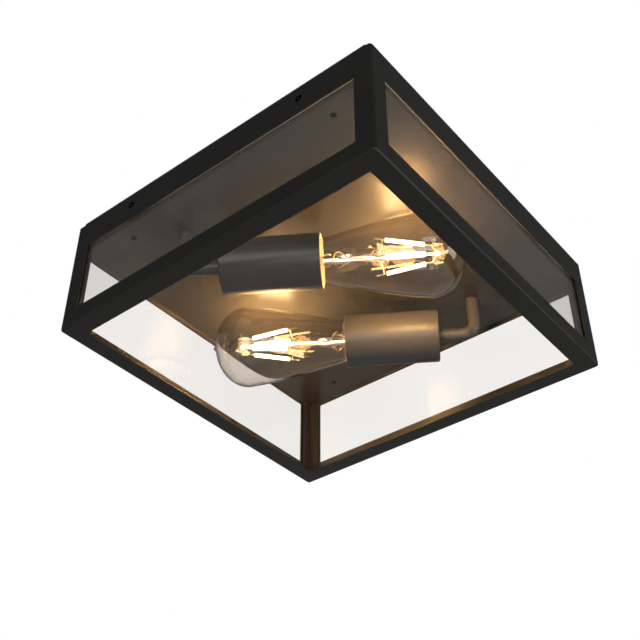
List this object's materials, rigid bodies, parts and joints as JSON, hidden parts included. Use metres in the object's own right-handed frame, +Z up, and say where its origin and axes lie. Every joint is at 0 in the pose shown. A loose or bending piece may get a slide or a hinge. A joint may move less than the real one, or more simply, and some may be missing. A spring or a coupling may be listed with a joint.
{
  "type": "porch ceiling lantern",
  "caption": "Flush square porch ceiling lantern: black folded-steel cage with clear glass sides and an open base, and screw-cap filament bulbs lying head to tail under the tray.",
  "frame": {"origin": "middle of the ceiling plane, where the rims of the tray touch the ceiling", "axes": "+Z up into the ceiling, so the lantern hangs to -Z; -X and +X are the left and right sides with the side screws, -Y is the front"},
  "size_m": [0.28, 0.28, 0.1025],
  "materials": {
    "black_coat": "satin black powder coat, fine texture",
    "zinc_steel": "bright zinc plate",
    "clear_pane": "clear float glass, polished edges",
    "terminal_plastic": "moulded, matt",
    "holder_plastic": "moulded heat-proof plastic, matt",
    "brass": "bright drawn brass",
    "spring_steel": "spring wire",
    "bulb_glass": "clear blown glass",
    "cap_metal": "nickel plated brass",
    "cap_insulator": "dark vitrified glass",
    "support_wire": "drawn wire",
    "filament": "phosphor-coated rods"
  },
  "bodies": {
    "lantern": {"cage_top_band_front": "black_coat", "cage_top_band_right": "black_coat", "cage_top_band_back": "black_coat", "cage_top_band_left": "black_coat", "cage_bottom_rail_front": "black_coat", "cage_bottom_rail_right": "black_coat", "cage_bottom_rail_back": "black_coat", "cage_bottom_rail_left": "black_coat", "cage_post_front_left": "black_coat", "cage_post_front_right": "black_coat", "cage_post_back_left": "black_coat", "cage_post_back_right": "black_coat", "ceiling_tray": "black_coat", "pane_guide_front_left": "black_coat", "pane_guide_front_right": "black_coat", "pane_guide_back_left": "black_coat", "pane_guide_back_right": "black_coat", "cage_side_screws": "black_coat", "tray_clinch_nuts": "zinc_steel", "arm_washers": "zinc_steel", "arm_lock_nuts": "zinc_steel", "terminal_screws": "zinc_steel", "earth_stud": "zinc_steel", "earth_nut_and_washer": "zinc_steel", "glass_pane_front": "clear_pane", "glass_pane_right": "clear_pane", "glass_pane_back": "clear_pane", "glass_pane_left": "clear_pane", "terminal_block": "terminal_plastic", "arm_tube_1": "black_coat", "holder_sleeve_1": "black_coat", "holder_body_1": "holder_plastic", "holder_base_1": "holder_plastic", "holder_screw_shell_1": "brass", "arm_tube_2": "black_coat", "holder_sleeve_2": "black_coat", "holder_body_2": "holder_plastic", "holder_base_2": "holder_plastic", "holder_screw_shell_2": "brass"},
    "bulb_1_eyelet": {"bulb_eyelet_1": "cap_metal"},
    "bulb_1": {"bulb_envelope_1": "bulb_glass", "bulb_cap_1": "cap_metal", "bulb_insulator_1": "cap_insulator", "bulb_stem_1": "bulb_glass", "bulb_supports_1": "support_wire", "bulb_filaments_1": "filament"},
    "contact_1": {"contact_plunger_1": "brass", "contact_spring_1": "spring_steel"},
    "bulb_2_eyelet": {"bulb_eyelet_2": "cap_metal"},
    "bulb_2": {"bulb_envelope_2": "bulb_glass", "bulb_cap_2": "cap_metal", "bulb_insulator_2": "cap_insulator", "bulb_stem_2": "bulb_glass", "bulb_supports_2": "support_wire", "bulb_filaments_2": "filament"},
    "contact_2": {"contact_plunger_2": "brass", "contact_spring_2": "spring_steel"}
  },
  "joints": [
    {"name": "bulb_1_travel", "type": "slide", "parent": "lantern", "child": "bulb_1_eyelet", "axis": [0.5476, -0.8368, 0], "range_m": [0, 0.0146]},
    {"name": "bulb_1_turn", "type": "hinge", "parent": "bulb_1_eyelet", "child": "bulb_1", "pos_m": [-0.04058, -0.02656, -0.059], "axis": [0.5476, -0.8368, 0], "range_deg": [0, 1440]},
    {"name": "contact_1_press", "type": "slide", "parent": "lantern", "child": "contact_1", "axis": [0.5476, -0.8368, 0], "range_m": [0, 0.00152]},
    {"name": "bulb_2_travel", "type": "slide", "parent": "lantern", "child": "bulb_2_eyelet", "axis": [-0.5476, 0.8368, 0], "range_m": [0, 0.0146]},
    {"name": "bulb_2_turn", "type": "hinge", "parent": "bulb_2_eyelet", "child": "bulb_2", "pos_m": [0.04058, 0.02656, -0.059], "axis": [-0.5476, 0.8368, 0], "range_deg": [0, 1440]},
    {"name": "contact_2_press", "type": "slide", "parent": "lantern", "child": "contact_2", "axis": [-0.5476, 0.8368, 0], "range_m": [0, 0.00152]}
  ],
  "couplings": [
    {"joint": "bulb_1_travel", "follows": "bulb_1_turn", "m_per_rad": 0.00057614},
    {"joint": "contact_1_press", "follows": "bulb_1_turn", "m_per_rad": 0.000059683},
    {"joint": "bulb_2_travel", "follows": "bulb_2_turn", "m_per_rad": 0.00057614},
    {"joint": "contact_2_press", "follows": "bulb_2_turn", "m_per_rad": 0.000059683}
  ]
}
